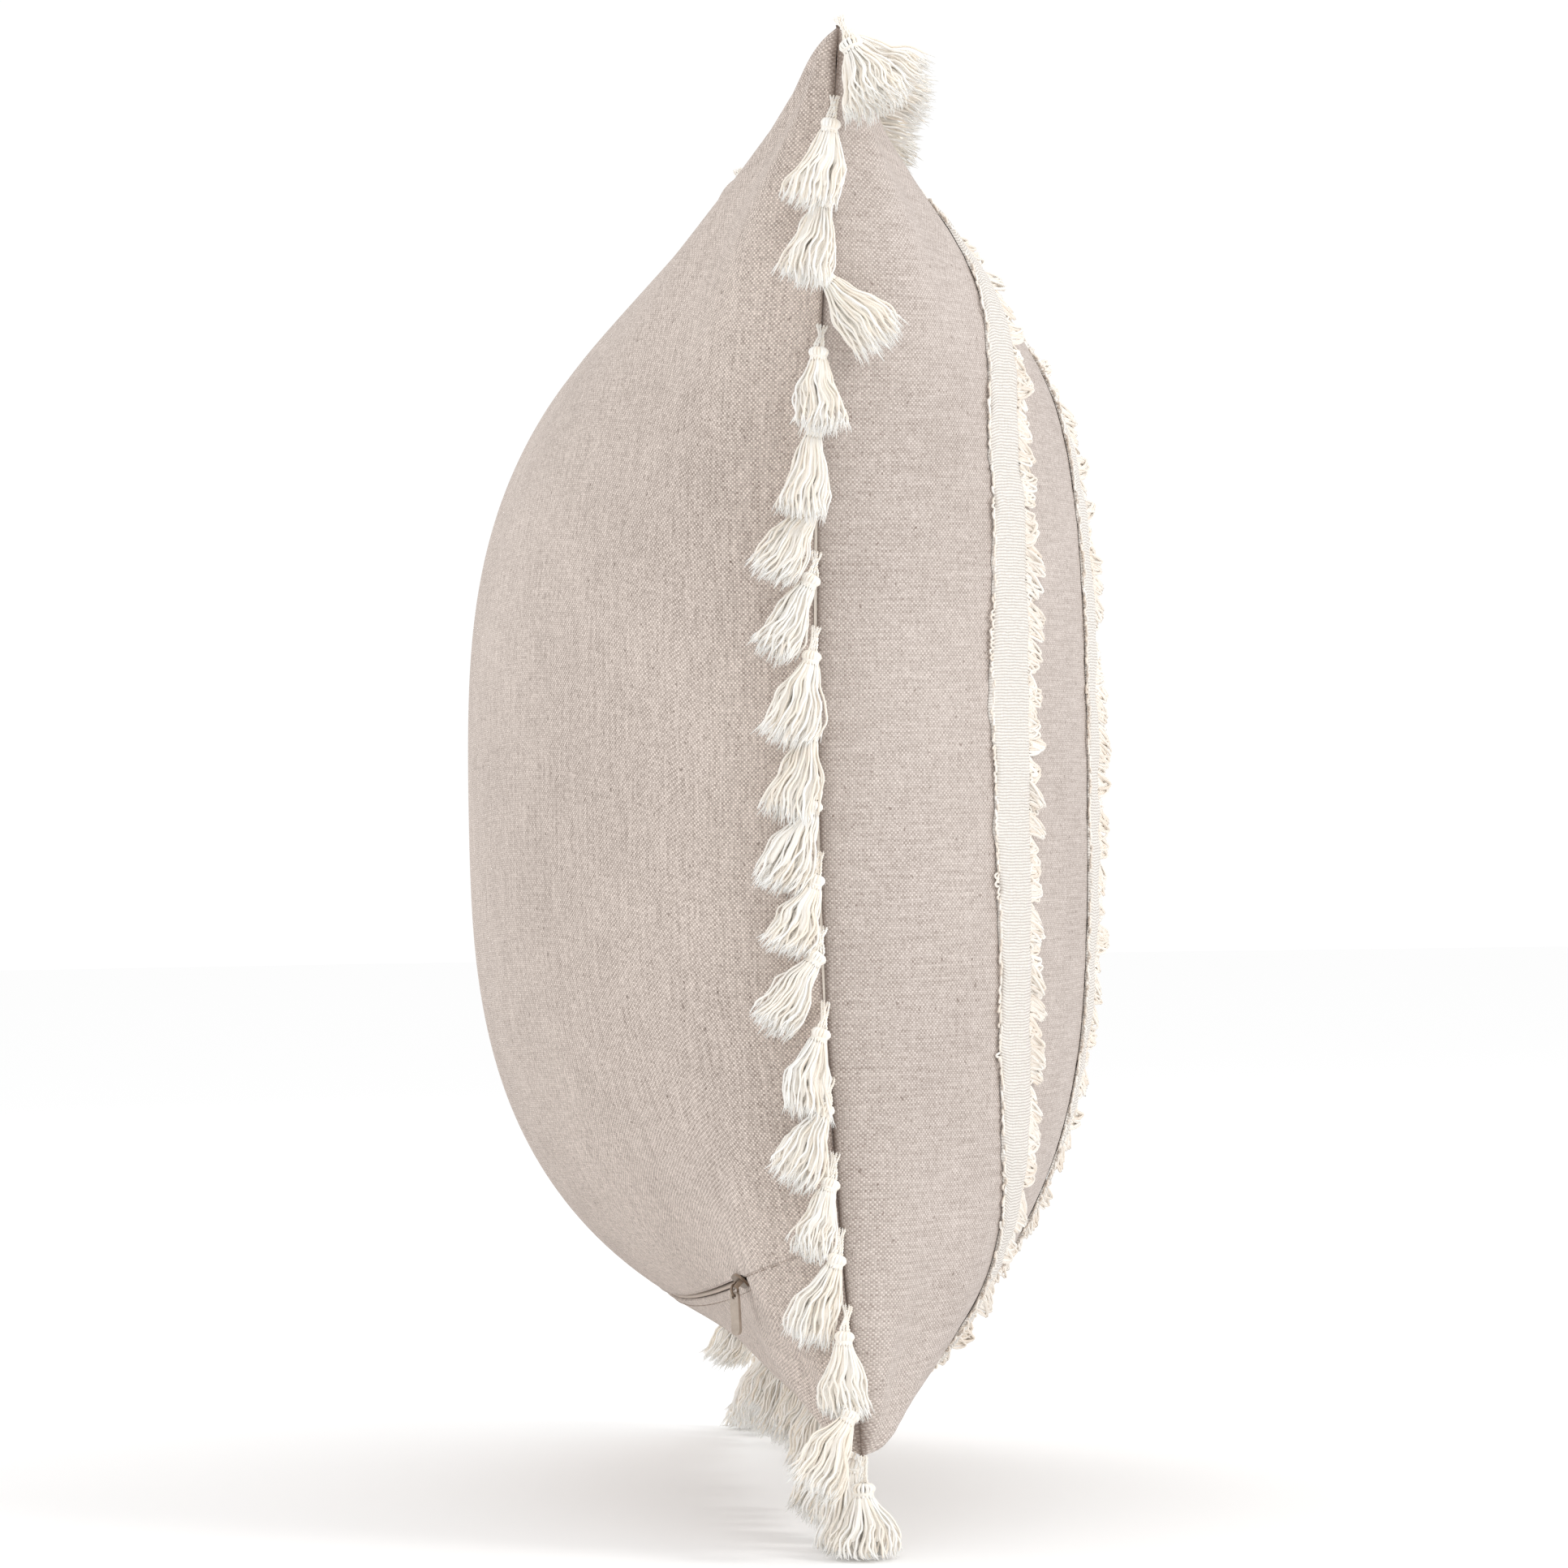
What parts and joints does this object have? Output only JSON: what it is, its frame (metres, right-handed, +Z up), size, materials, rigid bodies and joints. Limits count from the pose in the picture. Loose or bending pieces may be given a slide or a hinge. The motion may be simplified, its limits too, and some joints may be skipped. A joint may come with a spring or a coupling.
{
  "type": "throw pillow",
  "caption": "Square stuffed throw pillow with a tassel edge, woven trim bands up the front and a zip low on the back.",
  "frame": {"origin": "bottom centre of the whole pillow, level with the tips of the two lower corner tassels", "axes": "+Z up, -Y the banded front, +Y the plain back with the zip, +X to the right when looking at the front"},
  "size_m": [0.5182, 0.2326, 0.5181],
  "materials": {
    "linen_cloth": "matte plain weave with slubs",
    "band_cotton": "matte ribbed weave",
    "tassel_cotton": "matte twisted yarn",
    "insert_cloth": "matte non-woven",
    "filling": "loose fibre",
    "zip_tape": "smooth twill tape",
    "zip_nylon": "satin",
    "slider_metal": "satin bronze",
    "pull_enamel": "satin"
  },
  "bodies": {
    "cover": {"insert_fill": "filling", "insert_shell_front": "insert_cloth", "insert_shell_back": "insert_cloth", "front_panel": "linen_cloth", "back_upper_panel": "linen_cloth", "back_lower_panel": "linen_cloth", "trim_band_1": "band_cotton", "trim_band_2": "band_cotton", "trim_band_3": "band_cotton", "trim_band_4": "band_cotton", "trim_band_5": "band_cotton", "zip_tape_upper": "zip_tape", "zip_tape_lower": "zip_tape", "zip_coil_upper": "zip_nylon", "zip_coil_lower": "zip_nylon", "zip_stop_closed": "slider_metal", "zip_stop_open": "slider_metal", "tassel_header_left": "tassel_cotton", "tassel_header_right": "tassel_cotton", "tassel_header_top": "tassel_cotton", "tassel_header_bottom": "tassel_cotton", "left_tassel_loops": "tassel_cotton", "left_tassel_heads": "tassel_cotton", "left_tassel_skirts": "tassel_cotton", "right_tassel_loops": "tassel_cotton", "right_tassel_heads": "tassel_cotton", "right_tassel_skirts": "tassel_cotton", "top_tassel_loops": "tassel_cotton", "top_tassel_heads": "tassel_cotton", "top_tassel_skirts": "tassel_cotton", "bottom_tassel_loops": "tassel_cotton", "bottom_tassel_heads": "tassel_cotton", "bottom_tassel_skirts": "tassel_cotton", "corner_tassel_loops": "tassel_cotton", "corner_tassel_heads": "tassel_cotton", "corner_tassel_skirts": "tassel_cotton"},
    "slider": {"slider_body": "slider_metal", "slider_bridge": "slider_metal"},
    "link": {"pull_link": "slider_metal"},
    "tab": {"pull_tab": "pull_enamel"}
  },
  "joints": [
    {"name": "zip_travel", "type": "hinge", "parent": "cover", "child": "slider", "pos_m": [0, -0.5343, 0.72114], "axis": [0, -0.7431, -0.6691], "range_deg": [0, 26.4]},
    {"name": "link_swing", "type": "hinge", "parent": "slider", "child": "link", "pos_m": [-0.19948, 0.03466, 0.08925], "axis": [0.9736, 0.1528, -0.1697], "range_deg": [-24, 115]},
    {"name": "tab_swing", "type": "hinge", "parent": "link", "child": "tab", "pos_m": [-0.19995, 0.03459, 0.08649], "axis": [-0.7667, 0.6319, 0.1136], "range_deg": [-35, 10]}
  ]
}
